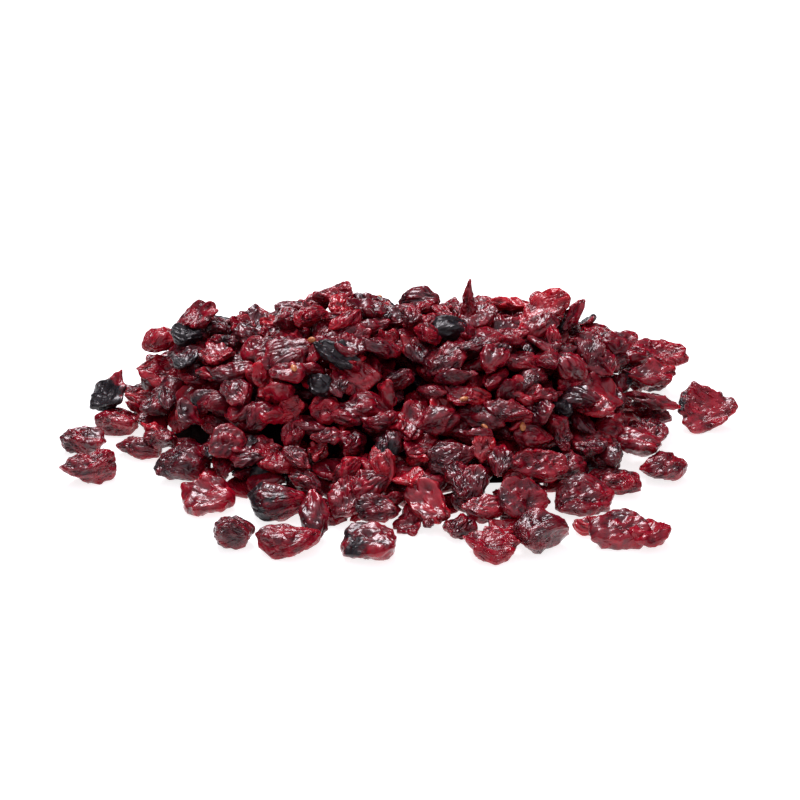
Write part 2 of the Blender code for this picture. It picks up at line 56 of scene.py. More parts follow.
# The pile's reach from its middle, every 30 degrees counter-clockwise from +X
PILE_REACH = (72.0, 81.0, 59.0, 51.0, 54.0, 80.0, 76.0, 68.0, 62.0, 60.5, 61.0, 67.0)
PILE_TOP = 32.8
TOP_FALL = 0.2  # how much the top falls towards the back, behind the pile's middle
PILE_SLOPES = {"front": 30.0, "sides": 52.0, "back": 42.0}
TOP_ROUNDING = 2.5
TOP_WAVE = (1.0, 0.021, 0.05)  # height, and turns per mm along X and Y
# Along X, how much higher than that the top is
TOP_LINE = (
    (-58.0, -4.5), (-46.0, -7.5), (-38.0, -6.5), (-30.0, -2.0), (-16.0, 2.2),
    (2.0, 2.2), (12.0, -1.5), (24.0, -1.4), (34.0, -2.4), (43.0, -2.0), (47.5, -9.0),
)
RANDOM_START = 7
COVER = 17.0  # depth of loose berries over the bed that they fall on
BITE = 1.4  # how far a soft berry presses into the berries that it lies on
FLAT_SPOT = 0.6  # how far it presses flat on the table
TRIES = 30  # places that a falling berry may roll to
MOST_MISSES = 40  # falls without a place that end a pouring
# Each pouring: size of its berries, spread of their tilt, how far under the form a place still takes one,
# and how far it may stand above the form
POURINGS = ((0.8, 15.0, 1.8, 3.8), (1.0, 20.0, 1.5, 2.4), (0.85, 40.0, 3.5, 3.0), (0.7, 60.0, 4.5, 3.4))
CELL = 1.0  # grid of the pile's height
FIELD_HALF = (105.0, 85.0)  # how far the grid reaches along X and Y
# Each kind: share of the pile, width and thickness over length, and length over a whole berry's
KINDS = {
    "whole": (50, 0.70, 0.50, 1.00),
    "disc": (20, 0.86, 0.38, 1.00),
    "half": (18, 0.74, 0.38, 1.00),
    "strip": (12, 0.48, 0.36, 1.12),
}
BERRY_LENGTH = (11.5, 15.5)
WIDTH_SPREAD = (0.88, 1.14)
THICKNESS_SPREAD = (0.85, 1.2)

# Laid on the table one by one: x, y, length, width, thickness, yaw, pitch, roll and kind, then how ripe the
# red is and how charred it is
RIM = (
    (-78.0, 12.4, 12.4, 10.8, 7.8, -20, 0, 5, "whole", 0.5, 0.0),
    (-70.5, -1.0, 14.0, 8.6, 6.0, -14, 3, 0, "whole", 0.42, 0.0),
    (-67.5, 12.0, 11.5, 8.4, 5.4, 12, 0, 8, "whole", 0.35, 0.0),
    (-58.5, -14.5, 15.4, 12.4, 9.8, 20, 0, 10, "whole", 0.25, 0.2),
    (-50.6, -31.8, 14.6, 13.6, 7.6, -35, 6, 16, "half", 0.5, 0.0),
    (-27.8, -55.8, 16.0, 11.6, 7.8, 8, 0, 4, "whole", 0.48, 0.0),
    (-31.6, -37.4, 15.2, 13.0, 9.4, -10, 0, 8, "whole", 0.32, 0.3),
    (-8.1, -58.0, 15.4, 13.0, 8.4, -26, 0, 6, "disc", 0.35, 0.25),
    (15.3, -48.0, 9.6, 8.2, 6.8, 60, 0, 0, "whole", 0.35, 0.0),
    (22.9, -58.0, 14.0, 12.4, 7.6, -6, 0, 6, "half", 0.48, 0.0),
    (35.4, -54.6, 13.8, 13.4, 11.4, 60, 0, 8, "whole", 0.33, 0.0),
    (47.8, -34.0, 16.2, 14.2, 8.0, 15, 0, 14, "disc", 0.33, 0.0),
    (47.6, -45.5, 8.2, 6.6, 5.2, -20, 0, 0, "whole", 0.8, 0.0),
    (55.6, -51.6, 15.0, 13.4, 8.8, 4, 0, 8, "disc", 0.42, 0.0),
    (56.8, -22.4, 16.6, 10.0, 7.0, -24, 0, 6, "whole", 0.4, 0.0),
    (70.3, -15.7, 12.6, 11.8, 8.6, 10, 0, 4, "whole", 0.36, 0.0),
    (64.0, -7.5, 14.0, 10.0, 6.4, -35, 0, 8, "whole", 0.42, 0.0),
    (54.0, -12.0, 11.0, 8.0, 6.0, 20, 0, 0, "whole", 0.2, 0.3),
    (64.6, 8.0, 13.0, 8.8, 6.0, 40, 0, 0, "whole", 0.4, 0.0),
    (66.5, 22.0, 13.0, 9.4, 6.2, -10, 0, 6, "disc", 0.4, 0.0),
    (31.0, -40.5, 12.0, 9.0, 6.0, 10, 0, 0, "whole", 0.36, 0.0),
)
# Laid on top one by one in the end, with the height of the berry's middle after x and y
CREST = (
    (-80.8, 19.8, 9.3, 13.0, 12.6, 5.6, 30, -42, 10, "half", 0.35, 0.5),
    (-69.8, 22.0, 6.5, 14.0, 6.6, 4.4, 0, 4, 0, "strip", 0.85, 0.0),
    (-66.8, 1.5, 6.6, 10.5, 4.8, 4.2, -25, 8, 0, "strip", 0.9, 0.0),
    (-65.0, 25.5, 13.0, 17.2, 13.6, 4.8, 6, 12, 30, "disc", 0.7, 0.0),
    (-66.2, 31.5, 19.4, 12.2, 9.4, 7.0, 16, 0, 0, "whole", 0.58, 0.0),
    (-58.0, 20.0, 20.6, 13.4, 9.4, 7.6, -8, 0, 20, "whole", 0.3, 0.0),
    (-58.6, 21.5, 26.0, 10.0, 8.0, 6.0, -12, 10, 0, "whole", 0.1, 1.0),
    (-56.0, 26.0, 29.6, 12.5, 10.0, 6.2, 20, -20, 20, "half", 0.38, 0.0),
    (-45.9, -20.0, 13.0, 11.0, 10.4, 5.4, 10, 0, 36, "disc", 0.45, 0.0),
    (12.5, 9.0, 33.0, 12.5, 9.6, 6.4, 30, 0, 10, "whole", 0.05, 1.0),
    (18.8, 18.5, 35.0, 15.6, 4.4, 4.0, 84, -66, 0, "strip", 0.5, 0.0),
    (38.5, 20.0, 33.8, 16.0, 11.4, 5.0, 20, -26, 14, "half", 0.86, 0.0),
    (46.6, 17.5, 32.6, 12.0, 6.0, 5.0, 30, -50, 0, "strip", 0.3, 0.3),
    (52.0, 12.5, 26.0, 12.0, 9.0, 6.0, 70, -20, 10, "whole", 0.36, 0.0),
    (60.0, 22.0, 24.0, 11.0, 9.4, 6.6, 0, 0, 10, "whole", 0.3, 0.0),
    (63.2, -52.6, 3.8, 12.4, 10.0, 6.4, 30, 0, 0, "half", 0.5, 0.0),
    (66.0, 30.0, 15.5, 10.5, 8.0, 6.0, 20, 0, 0, "whole", 0.32, 0.0),
    (68.0, 38.5, 7.5, 12.0, 9.0, 6.5, 30, -10, 0, "whole", 0.35, 0.0),
    (57.5, 21.0, 18.0, 13.0, 10.0, 8.0, 10, 0, 0, "whole", 0.3, 0.0),
    (73.6, 42.5, 11.6, 17.4, 12.0, 6.4, -12, 10, 14, "half", 0.55, 0.0),
    (69.3, 20.5, 14.4, 15.0, 9.0, 5.4, 8, 0, 16, "half", 0.46, 0.0),
    (70.0, 12.0, 10.2, 16.0, 7.0, 5.0, -8, 8, 0, "strip", 0.42, 0.0),
    (-22.0, -47.6, 5.4, 16.0, 6.8, 6.6, 96, -32, 0, "whole", 0.35, 0.0),
    (-13.7, -38.6, 6.6, 14.4, 9.8, 5.4, 82, -32, 4, "disc", 0.42, 0.0),
    (-5.9, -43.3, 5.6, 12.2, 8.8, 6.4, -12, 5, 20, "whole", 0.34, 0.0),
    (26.5, -49.6, 3.0, 11.0, 8.0, 5.4, 20, 0, 0, "half", 0.66, 0.0),
    (7.0, -41.0, 6.0, 15.0, 10.0, 6.0, -50, 20, 20, "half", 0.7, 0.0),
    (21.3, -43.8, 5.8, 10.6, 7.8, 6.0, 10, 5, 35, "whole", 0.52, 0.0),
    (-4.7, -29.9, 11.0, 15.5, 7.6, 5.6, 100, -38, -6, "strip", 0.88, 0.0),
    (12.8, -27.8, 12.0, 14.3, 9.8, 7.0, 12, -6, 28, "whole", 0.25, 0.1),
    (18.1, -35.9, 8.5, 11.3, 8.3, 6.6, 64, -27, 18, "whole", 0.3, 0.0),
    (31.1, -42.1, 7.6, 13.8, 11.8, 5.8, 18, 6, 34, "disc", 0.38, 0.0),
    (35.9, -30.2, 12.0, 17.0, 9.0, 5.6, 10, 5, 38, "half", 0.42, 0.0),
    (21.5, -24.2, 14.0, 10.5, 6.6, 5.6, 96, -36, 0, "strip", 0.98, 0.0),
    (-29.0, 33.0, 29.0, 12.0, 6.0, 5.5, 5, 0, 10, "whole", 0.4, 0),
    (-15.5, 34.0, 30.5, 8.5, 7.0, 4.5, 10, -10, 24, "half", 0.62, 0),
    (5.5, 34.0, 31.0, 11.5, 7.5, 6.5, -8, 0, 20, "whole", 0.3, 0.2),
    (28.0, 33.0, 30.0, 9.5, 4.5, 4.0, -10, 0, 10, "strip", 0.9, 0),
    (-43.5, 27.0, 26.5, 8.0, 7.5, 5.0, 30, 0, 24, "half", 0.48, 0),
    (-35.0, 27.0, 27.5, 7.5, 5.5, 4.5, 20, 0, 10, "half", 0.82, 0),
    (-13.5, 4.5, 33.0, 12.5, 8.5, 5.5, 8, -8, 22, "disc", 0.38, 0),
    (-3.0, 5.0, 31.0, 9.0, 7.0, 5.0, -15, 28, 30, "half", 0.66, 0),
    (-30.5, 0.0, 30.0, 17.0, 14.0, 9.0, 10, -12, 6, "whole", 0.34, 0.1),
    (-16.5, -4.0, 31.0, 13.5, 7.5, 5.0, -15, 18, 22, "half", 0.1, 0.8),
    (-45.0, 0.5, 24.0, 11.5, 8.0, 6.5, -5, -10, 16, "whole", 0.3, 0.2),
    (-12.0, -6.0, 26.0, 15.0, 10.5, 5.0, -24, 26, 34, "half", 0.62, 0),
    (-34.5, -9.0, 23.5, 8.5, 6.5, 5.0, 30, -26, 12, "half", 0.85, 0),
    (-21.0, -10.0, 25.0, 8.5, 7.5, 6.0, -30, 26, 30, "whole", 0.1, 0.8),
    (-29.5, -14.0, 20.5, 8.0, 7.0, 5.0, 15, -14, 42, "half", 0.8, 0),
    (-20.0, -14.0, 20.0, 9.0, 7.5, 6.0, -20, 16, 30, "whole", 0.55, 0),
    (-8.5, -12.5, 19.5, 12.0, 8.5, 6.0, 8, 4, 26, "whole", 0.45, 0),
    (-52.5, -3.0, 17.0, 10.0, 6.5, 5.5, -4, -26, 30, "whole", 0.25, 0.3),
    (-37.0, -14.5, 18.0, 9.0, 7.5, 6.0, 35, -28, 18, "whole", 0.3, 0),
    (-28.0, -18.0, 16.0, 10.5, 6.5, 5.5, 80, -32, 4, "disc", 0.45, 0),
    (3.5, 15.0, 32.0, 8.0, 6.0, 4.5, 60, 4, 16, "strip", 0.6, 0),
    (3.5, 4.5, 30.0, 8.5, 6.0, 5.0, 12, -22, 30, "half", 0.72, 0),
    (12.5, -2.5, 29.0, 14.5, 10.0, 7.5, 18, -18, 18, "whole", 0.36, 0),
    (27.0, 10.0, 30.0, 17.5, 9.0, 5.0, 8, -2, 16, "half", 0.42, 0),
    (32.0, -0.5, 28.0, 12.0, 9.0, 5.5, 0, 6, 2, "disc", 0.42, 0),
    (45.0, 3.0, 25.0, 11.5, 10.0, 6.5, -20, 30, 6, "whole", 0.42, 0),
    (41.5, 8.5, 30.0, 9.5, 5.0, 4.5, 96, -32, 18, "strip", 0.5, 0),
    (33.5, -9.5, 23.5, 9.0, 8.5, 5.0, 40, -10, 30, "half", 0.62, 0),
    (53.5, 2.0, 17.0, 13.0, 12.0, 6.0, -10, 32, 24, "half", 0.4, 0),
    (11.5, -13.0, 19.5, 12.0, 6.5, 5.0, 96, -24, -8, "half", 0.82, 0),
    (20.0, -11.0, 22.0, 9.0, 5.0, 5.0, -6, -2, 34, "strip", 0.95, 0),
    (21.5, -15.0, 18.0, 12.5, 7.5, 6.5, -14, 6, 30, "whole", 0.28, 0),
    (2.5, -15.5, 16.5, 14.0, 9.0, 6.0, 84, -20, 0, "half", 0.48, 0),
    (43.5, -8.5, 18.0, 6.5, 6.0, 5.5, 50, -2, 34, "whole", 0.15, 0.6),
    (43.5, -15.0, 13.0, 11.0, 5.5, 5.0, 94, -28, 20, "strip", 0.36, 0),
    (35.0, -18.5, 13.5, 10.0, 8.0, 6.5, 12, 2, 32, "whole", 0.52, 0),
    (57.5, -4.0, 8.5, 11.0, 8.0, 6.5, -12, 34, 16, "whole", 0.45, 0),
    (-36.0, -20.5, 12.0, 10.0, 9.0, 5.5, -30, 8, 30, "half", 0.45, 0),
    (-35.5, -22.0, 6.5, 11.0, 6.5, 6.5, 6, 0, 0, "whole", 0.12, 0.7),
    (-21.5, -23.0, 12.0, 6.5, 6.0, 5.0, 30, -16, 20, "half", 0.72, 0),
    (26.5, -30.0, 12.5, 12.0, 7.0, 5.5, 82, -14, 0, "strip", 0.34, 0),
    (53.0, -11.0, 8.0, 10.0, 9.0, 6.0, 30, 14, 32, "whole", 0.62, 0),
    (64.5, -6.0, 6.0, 9.5, 8.5, 5.5, -30, 0, 0, "half", 0.56, 0),
)


def pile_reach(angle):
    """How far the pile reaches from its middle, towards an angle in radians."""
    step = 2 * math.pi / len(PILE_REACH)
    place = np.mod(angle, 2 * math.pi) / step
    low = np.floor(place).astype(int)
    share = (1 - np.cos(math.pi * (place - low))) / 2
    reach = np.array(PILE_REACH)
    return reach[low % len(reach)] * (1 - share) + reach[(low + 1) % len(reach)] * share


def side_rise(angle):
    """How steeply the pile's side rises, towards an angle in radians."""
    end = np.where(np.sin(angle) > 0, PILE_SLOPES["back"], PILE_SLOPES["front"])
    return np.tan(np.radians(PILE_SLOPES["sides"] + (end - PILE_SLOPES["sides"]) * np.sin(angle) ** 2))


def pile_height(x, y):
    """The pile's form: its sides rise at their own slopes to a rounded, slightly waved top."""
    across, back = x - PILE_MIDDLE[0], y - PILE_MIDDLE[1]
    angle = np.arctan2(back, across)
    side = side_rise(angle) * (pile_reach(angle) - np.hypot(across, back))
    high, kx, ky = TOP_WAVE
    wave = high * np.sin(2 * math.pi * (kx * x + ky * y))
    top = PILE_TOP + wave + np.interp(x, *zip(*TOP_LINE)) - TOP_FALL * np.maximum(back, 0)
    low = np.minimum(side, top)
    return low - TOP_ROUNDING * np.log1p(np.exp(-np.abs(side - top) / TOP_ROUNDING))


def steepness(x, y):
    """How much longer the form's surface is than the floor under it, at (x, y)."""
    rise_x = (pile_height(x + CELL, y) - pile_height(x - CELL, y)) / (2 * CELL)
    rise_y = (pile_height(x, y + CELL) - pile_height(x, y - CELL)) / (2 * CELL)
    return np.sqrt(1 + rise_x ** 2 + rise_y ** 2)


def turned(yaw, pitch, roll):
    """A berry's rotation, from angles in degrees: roll about its length, then pitch, then yaw."""
    about = ((yaw, "Z"), (pitch, "Y"), (roll, "X"))
    z_turn, y_turn, x_turn = (Matrix.Rotation(math.radians(angle), 3, axis) for angle, axis in about)
    return np.array(z_turn @ y_turn @ x_turn)


class Pile:
    """The height of all that has fallen so far, on a grid, and the berries themselves."""

    def __init__(self):
        self.xs = np.arange(-FIELD_HALF[0], FIELD_HALF[0] + CELL / 2, CELL)
        self.ys = np.arange(-FIELD_HALF[1], FIELD_HALF[1] + CELL / 2, CELL)
        self.form = np.round(pile_height(self.xs[:, None], self.ys[None, :]), 3)
        self.height = np.maximum(0.0, self.form - COVER)
        self.berries = []

    def footprint(self, x, y, half, rotation):
        """The cells under an ellipsoid of these half sizes over (x, y), and its lower and upper face."""
        shape = rotation @ np.diag(np.square(half)) @ rotation.T
        reach_x, reach_y = math.sqrt(shape[0, 0]), math.sqrt(shape[1, 1])
        i0, i1 = np.searchsorted(self.xs, (x - reach_x, x + reach_x))
        j0, j1 = np.searchsorted(self.ys, (y - reach_y, y + reach_y))
        dx, dy = self.xs[i0:i1, None] - x, self.ys[None, j0:j1] - y
        flat = np.linalg.inv(shape[:2, :2])
        spent = flat[0, 0] * dx * dx + 2 * flat[0, 1] * dx * dy + flat[1, 1] * dy * dy
        lean = shape[2, :2] @ flat
        middle = lean[0] * dx + lean[1] * dy
        rise = math.sqrt(shape[2, 2] - lean @ shape[:2, 2]) * np.sqrt(np.clip(1 - spent, 0, None))
        return (slice(i0, i1), slice(j0, j1)), spent < 1, middle - rise, middle + rise

    def resting_height(self, x, y, half, rotation):
        """How high a berry's middle is when it comes to rest over (x, y)."""
        window, inside, lower, _ = self.footprint(x, y, half, rotation)
        on_berries = float((self.height[window] - lower)[inside].max()) - BITE
        on_surface = float(-lower[inside].min()) - FLAT_SPOT
        return round(max(on_berries, on_surface), 5)

    def lay(self, x, y, z, half, rotation, kind, look=None):
        """Adds a berry to the pile."""
        window, inside, _, upper = self.footprint(x, y, half, rotation)
        raised = inside & (z + upper > self.height[window])
        self.height[window][raised] = np.round(z + upper, 4)[raised]
        self.berries.append((x, y, z, rotation, half, kind, look))

    def leave_room(self, x, y, z, half, rotation):
        """Lowers the form where a berry is to be laid on top in the end."""
        window, inside, lower, _ = self.footprint(x, y, half, rotation)
        self.form[window][inside] = np.minimum(self.form[window], np.round(z + lower, 3))[inside]

    def drop(self, rng, open_cells, size, tilt, most_proud):
        """A berry falls and takes the lowest of the places that it may roll to. False if it finds none."""
        kind = rng.choices(tuple(KINDS), [share for share, *_ in KINDS.values()])[0]
        _, wide, thick, long = KINDS[kind]
        length = rng.uniform(*BERRY_LENGTH) * long * size
        width = length * wide * rng.uniform(*WIDTH_SPREAD)
        thickness = length * thick * rng.uniform(*THICKNESS_SPREAD)
        half = np.array((length, width, thickness)) / 2
        best = None
        for _ in range(TRIES):
            i, j = open_cells[rng.randrange(len(open_cells))]
            x, y = self.xs[i] + rng.uniform(-CELL, CELL), self.ys[j] + rng.uniform(-CELL, CELL)
            rotation = turned(rng.uniform(0, 360), rng.gauss(0, tilt), rng.gauss(0, tilt))
            z = self.resting_height(x, y, half, rotation)
            tall = math.sqrt(np.square(rotation[2] * half).sum())
            proud = round(z + tall / 2 - self.form[i, j], 5)
            if best is None or proud < best[0]:
                best = (proud, x, y, z, rotation)
        if best[0] > most_proud:
            return False
        self.lay(*best[1:4], half, best[4], kind)
        return True


def hand_laid(row):
    """One row of a table: its place, half sizes, rotation, kind and look."""
    *place, length, width, thickness, yaw, pitch, roll, kind, ripe, charred = row
    return place, np.array((length, width, thickness)) / 2, turned(yaw, pitch, roll), kind, (ripe, charred)


def lay_on_surface(pile, row):
    (x, y), half, rotation, kind, look = hand_laid(row)
    pile.lay(x, y, pile.resting_height(x, y, half, rotation), half, rotation, kind, look)


def poured_pile():
    """The whole pile: rim, then falling berries until they no longer fit, then the crest."""
    pile = Pile()
    for row in RIM:
        lay_on_surface(pile, row)
    for row in CREST:
        place, half, rotation, *_ = hand_laid(row)
        pile.leave_room(*place, half, rotation)
    rng = random.Random(RANDOM_START)
    for size, tilt, least_lack, most_proud in POURINGS:
        misses = 0
        while misses < MOST_MISSES:
            open_cells = np.argwhere(pile.form - pile.height > least_lack)
            if not len(open_cells):
                break
            misses += not pile.drop(rng, open_cells, size, tilt, most_proud)
    for row in CREST:
        place, half, rotation, kind, look = hand_laid(row)
        pile.lay(*place, half, rotation, kind, look)
    return pile


pile = poured_pile()

# The bed
# Berries deep inside the pile, of which nothing shows but darkness between the ones above. A lumpy mound
# stands for them.
BED_DETAIL = (64, 24)  # sides and rings of its mesh
BED_INSET = 16.0  # it ends where the pile's side is this high
BED_LUMP = 1.5
BED_LUMP_LENGTH = 11.0
BED_LOWEST = 1.0
BED_FOOT = 0.5  # its underside, over the table
# Cranberry flesh, cut, wet and deep down, where hardly any light comes. Its nearly black red is painted
# shade:
# it gives the eye a matt darkness between the berries above.
BED_SHADE_REDS = ((0.3, "080203"), (0.7, "1a0508"))
BED_GRAINS_PER_MM = 0.26  # each grain is about 4 mm long
BED_ROUGHNESS = 0.7
BED_GLOSS = 0.1


def colour(hexadecimal):
    """A colour from its sRGB hex value, in linear light."""
    parts = [int(hexadecimal[i:i + 2], 16) / 255 for i in (0, 2, 4)]
    linear = [c / 12.92 if c <= 0.04045 else ((c + 0.055) / 1.055) ** 2.4 for c in parts]
    return (*linear, 1.0)


def put(owner, kind, settings, inputs):
    """Adds a node with its settings. Each input gets a value, or is linked to the output given for it."""
    tree = owner.node_tree
    node = tree.nodes.new(kind)
    for key, value in settings.items():
        setattr(node, key, value)
    for key, value in inputs.items():
        if isinstance(value, bpy.types.NodeSocket):
            tree.links.new(value, node.inputs[key])
        else:
            node.inputs[key].default_value = value
    return node


def ramp_stops(node, stops):
    """Gives a colour ramp its stops."""
    ramp = node.color_ramp
    while len(ramp.elements) > 1:
        ramp.elements.remove(ramp.elements[-1])
    for index, (place, value) in enumerate(stops):
        stop = ramp.elements[0] if index == 0 else ramp.elements.new(place)
        stop.position = place
        stop.color = colour(value)


def new_material(name):
    """A material and its shader."""
    material = bpy.data.materials.new(name)
    material.use_nodes = True
    return material, material.node_tree.nodes["Principled BSDF"]


def finished(name, shape):
    """The object that a shape becomes."""
    mesh = bpy.data.meshes.new(name)
    shape.to_mesh(mesh)
    shape.free()
    thing = bpy.data.objects.new(name, mesh)
    bpy.context.scene.collection.objects.link(thing)
    return thing


def bed():
    shape = bmesh.new()
    bmesh.ops.create_uvsphere(shape, u_segments=BED_DETAIL[0], v_segments=BED_DETAIL[1], radius=1)
    for vertex in shape.verts:
        angle = math.atan2(vertex.co.y, vertex.co.x)
        reach = float(pile_reach(angle) - BED_INSET / side_rise(angle))
        out = math.hypot(vertex.co.x, vertex.co.y) * reach
        x, y = PILE_MIDDLE[0] + out * math.cos(angle), PILE_MIDDLE[1] + out * math.sin(angle)
        lump = math.sin(2 * math.pi * x / BED_LUMP_LENGTH) * math.sin(2 * math.pi * y / BED_LUMP_LENGTH)
        top = max(float(pile_height(x, y)) - COVER + BED_LUMP * lump, BED_LOWEST)
        z = top if vertex.co.z > 0.001 else BED_FOOT
        vertex.co = (MM * (x - SPREAD_MIDDLE[0]), MM * (y - SPREAD_MIDDLE[1]), MM * z)
    thing = finished("cranberry_bed", shape)
    thing.data.shade_smooth()

    material, shader = new_material("deep_berries_painted_shade")
    link = material.node_tree.links.new
    where = put(material, "ShaderNodeTexCoord", {}, {}).outputs["Object"]
    lumps = put(material, "ShaderNodeTexNoise", {},
                {"Vector": where, "Scale": BED_GRAINS_PER_MM / MM, "Detail": 4.0})
    # Painted shade: a lumpy mix of two nearly black reds
    dark = put(material, "ShaderNodeValToRGB", {}, {"Fac": lumps.outputs["Fac"]})
    ramp_stops(dark, BED_SHADE_REDS)
    link(dark.outputs["Color"], shader.inputs["Base Color"])
    dents = put(material, "ShaderNodeBump", {}, {"Distance": MM, "Height": lumps.outputs["Fac"]})
    link(dents.outputs[0], shader.inputs["Normal"])
    shader.inputs["Roughness"].default_value = BED_ROUGHNESS
    shader.inputs["Specular IOR Level"].default_value = BED_GLOSS
    thing.data.materials.append(material)
    return thing


cranberry_bed = bed()
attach(cranberry_bed, "root")
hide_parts("cranberry_heap")

# The berries
# Each berry was a ball that lost its water: its skin sank in flat facets and dents, and folded along its
# length or round its calyx. Cut ones dried as cups with a thin rim, and torn ones as narrow strips.
OUTER_BERRIES = 285  # the ones that show
BACK_FROM = 42.0
# Sides and rings of a berry's mesh
FRONT_DETAIL = (52, 30)
BACK_DETAIL = (32, 18)
INNER_DETAIL = (20, 11)
MOST_IN_PIECE = 60
PIECE_NAMES = {
    "whole": "whole_cranberries",
    "disc": "calyx_end_slices",
    "half": "cranberry_halves",
    "strip": "skin_strips",
}
# Each kind's own form: hollow of its upper face, and how far its ends draw to a point, both from and to
KIND_FORMS = {
    "whole": ((0.0, 0.3), (0.05, 0.3)),
    "disc": ((0.25, 0.6), (0.0, 0.12)),
    "half": ((0.7, 1.15), (0.0, 0.3)),
    "strip": ((0.1, 0.6), (0.45, 0.7)),
}
# How much one end may be thicker, how far the ends may bend away, where the bend has its middle, and the
# most twist in degrees
TAPER = 0.25
BEND = 0.3
BEND_CENTRE = 0.4
TWIST = 20.0
# Lobes round its girth: how many and how high
LOBES = ((2, 0.08), (3, 0.07))
LOBE_SPREAD = (0.3, 1.0)
# Flat facets and dents, in shares of the ball's radius, and what makes up for all that they cut away
FACETS = 9
FACET_DEPTHS = (0.72, 0.96)
FACET_SHARPNESS = 18
FACET_FILL = 1.07
DENTS = 4
DENT_DEPTHS = (0.02, 0.16)
DENT_REACHES = (0.06, 0.2)
# Long and short swells of the skin, which bend the pleats
SWELL_WAVES = 5
SWELL_SPREAD = (0.7, 1.5)
SWELL_PHASES = (0.0, 6.283)  # anywhere in a full turn, in radians
LONG_SWELL = 9.0
SHORT_SWELL = 3.6
# Each kind's pleats: fewest, most, and how much long and short swells bend them
PLEATS = {
    "whole": (7, 12, 1.2, 0.5),
    "disc": (11, 17, 0.0, 0.6),
    "half": (5, 8, 0.9, 0.5),
    "strip": (4, 6, 0.8, 0.3),
}
PLEAT_DEPTHS = (0.2, 0.6)
# Where each kind's flesh is thin: between which shares of the way out from its middle, and how thin
THINNING = {
    "whole": (0.75, 1.0, 0.5),
    "disc": (0.8, 1.0, 0.6),
    "half": (0.55, 0.95, 1.0),
    "strip": (0.45, 0.95, 1.0),
}
# The calyx end: how far off the middle it may be, where its pleats start and end, the ring and the pit in it
CALYX_OFF = 0.15
CALYX_PLEATS = ((0.12, 0.4), (0.75, 1.0))
CALYX_RING = (0.27, 0.08, 0.5)
CALYX_PIT = (0.14, 0.9)
UPPER_FACE = (-0.25, 0.25)  # the upper face comes in between these shares of the ball's radius
# The waved rim of an open half
RIM_WAVES = (4, 6)
RIM_WAVE_HEIGHT = 0.55
RIM_WAVE_BEND = 1.5
RIM_PLEATS = (0.35, 0.65)  # how deep its pleats are, and how much deeper at the rim
# Sharp crumples over everything, coarse and fine: how far apart and how high
CRUMPLE_WAYS = 3
CRUMPLE_BEND = (0.9, 1.6)  # how much swells bend them, and how long those are over the crumples' spacing
CRUMPLE_SPREAD = (0.8, 1.3)
CRUMPLE_LEVEL = 0.4  # where they neither add to the berry nor take from it
COARSE_CRUMPLES = 4.6
COARSE_HEIGHTS = (0.9, 1.5)
FINE_CRUMPLES = 2.3
FINE_HEIGHTS = (0.4, 0.7)
# Painted shade in the creases: how dark it is in pleats, in hollows, and how much less where coarse crumples
# cross
PLEAT_SHADE = 0.6
HOLLOW_SHADE = 1.2
CRUMPLE_SHADE = 2.2
TABLE_GAP = 0.02  # from the table to the flat spots that lie on it
PATTERN_SHRINK = (0.6, 1.25)  # how much finer the skin's marks are on one berry than on another
PATTERN_STEP = 40.0  # from one berry's place in the skin's pattern to the next one's


def berry_points(sphere, half, kind, number):
    """Turns a unit sphere's points into a shrivelled berry, long along X, by its kind and number."""
    own = random.Random(1000 * RANDOM_START + number)
    hollow, point = (own.uniform(*span) for span in KIND_FORMS[kind])
    taper = own.uniform(-TAPER, TAPER)
    rise, sweep = (own.uniform(-BEND, BEND) for _ in range(2))
    twist = math.radians(own.uniform(-TWIST, TWIST))
    x, y, z = sphere.T
    around = np.arctan2(z, y)
    girth = (1 + taper * x) * (1 - point * x * x)
    for count, high in LOBES:
        girth += own.uniform(*LOBE_SPREAD) * high * np.cos(count * around + own.uniform(0, 2 * math.pi))
    y, z = y * girth, z * girth
    open_top = np.clip(1 - x * x - y * y, 0, 1)
    z = np.where(z > 0, z * (1 - hollow * open_top), z)
    bend = x * x - BEND_CENTRE
    length, width, thickness = half[0] * x, half[1] * (y + sweep * bend), half[2] * (z + rise * bend)
    turn = twist * x
    across = width * np.cos(turn) - thickness * np.sin(turn)
    up = thickness * np.cos(turn) + width * np.sin(turn)
    return np.stack((length, across, up), axis=1)


def directions(own, count):
    """Random directions."""
    arrows = np.array([[own.gauss(0, 1) for _ in range(3)] for _ in range(count)])
    return arrows / np.linalg.norm(arrows, axis=1)[:, None]


def swells(place, own, length):
    """A smooth random height, from about -1 to 1, whose swells are about this many millimetres long."""
    total = 0
    for way in directions(own, SWELL_WAVES):
        turns = place @ way * (2 * math.pi / (length * own.uniform(*SWELL_SPREAD)))
        total = total + np.sin(turns + own.uniform(*SWELL_PHASES))
    return total / math.sqrt(SWELL_WAVES)


def rising(value, low, high):
    """Goes smoothly from 0 to 1 while the value goes from low to high."""
    share = np.clip((value - low) / (high - low), 0, 1)
    return share * share * (3 - 2 * share)


def valleys(phase):
    """Sharp valleys between round folds, one for each half turn of the phase: 1 in a valley, 0 on a fold."""
    return 1 - np.abs(np.sin(phase))


def crumples(place, own, spacing):
    """Sharp ridges that cross at random, this many mm apart: 1 where they cross, 0 in the hollows."""
    total = 0
    high, length = CRUMPLE_BEND
    for way in directions(own, CRUMPLE_WAYS):
        bent = high * swells(place, own, length * spacing)
        turns = place @ way * (math.pi / (spacing * own.uniform(*CRUMPLE_SPREAD)))
        total = total + valleys(turns + bent)
    return total / CRUMPLE_WAYS


